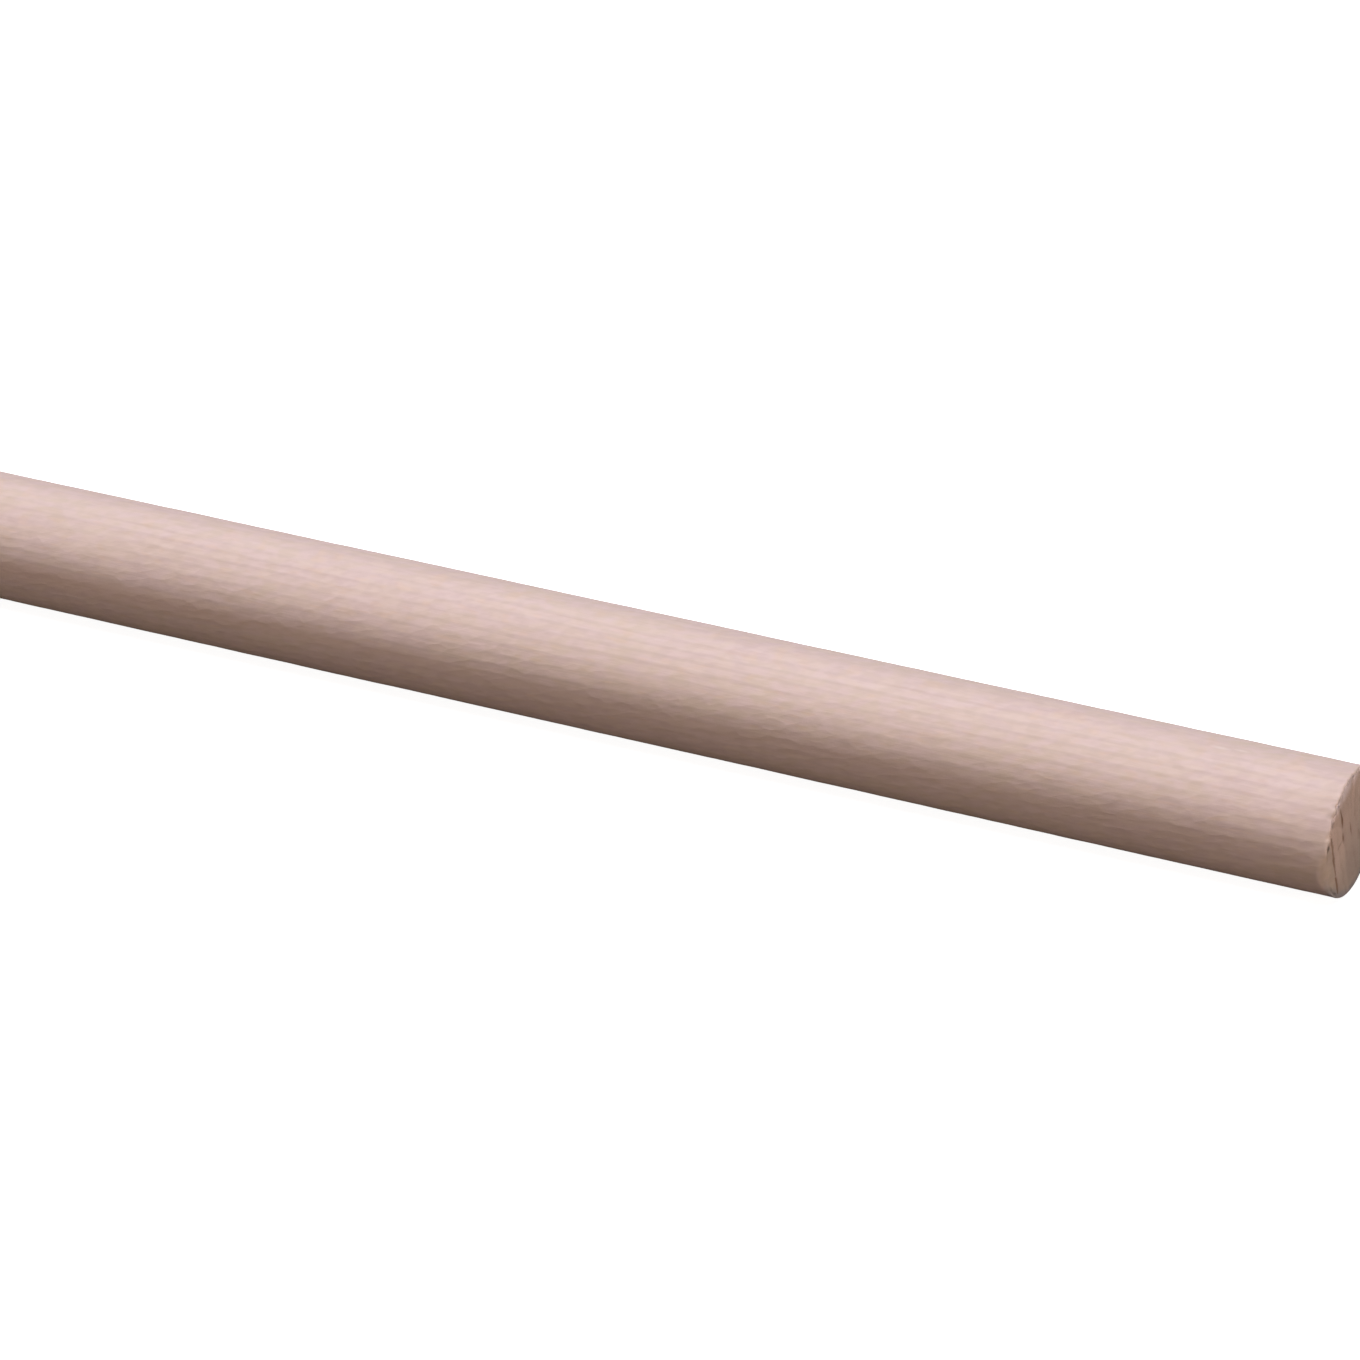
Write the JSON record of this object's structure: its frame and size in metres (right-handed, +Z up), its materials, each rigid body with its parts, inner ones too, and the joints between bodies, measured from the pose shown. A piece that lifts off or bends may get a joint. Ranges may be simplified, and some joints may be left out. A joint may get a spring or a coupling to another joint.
{
  "type": "wooden dowel rod",
  "caption": "Straight round bare beech rod with square sawn ends, one of them with a split and a bruised corner.",
  "frame": {"origin": "middle of the rod, on its axis", "axes": "+X along the rod's axis, towards the sawn end with the bruised corner; +Z up; the bruised corner faces -Y and a little down"},
  "size_m": [0.3, 0.02, 0.02],
  "materials": {
    "beech": "planed and sanded, bare, matt"
  },
  "bodies": {
    "root": {"dowel_rod": "beech"}
  },
  "joints": []
}
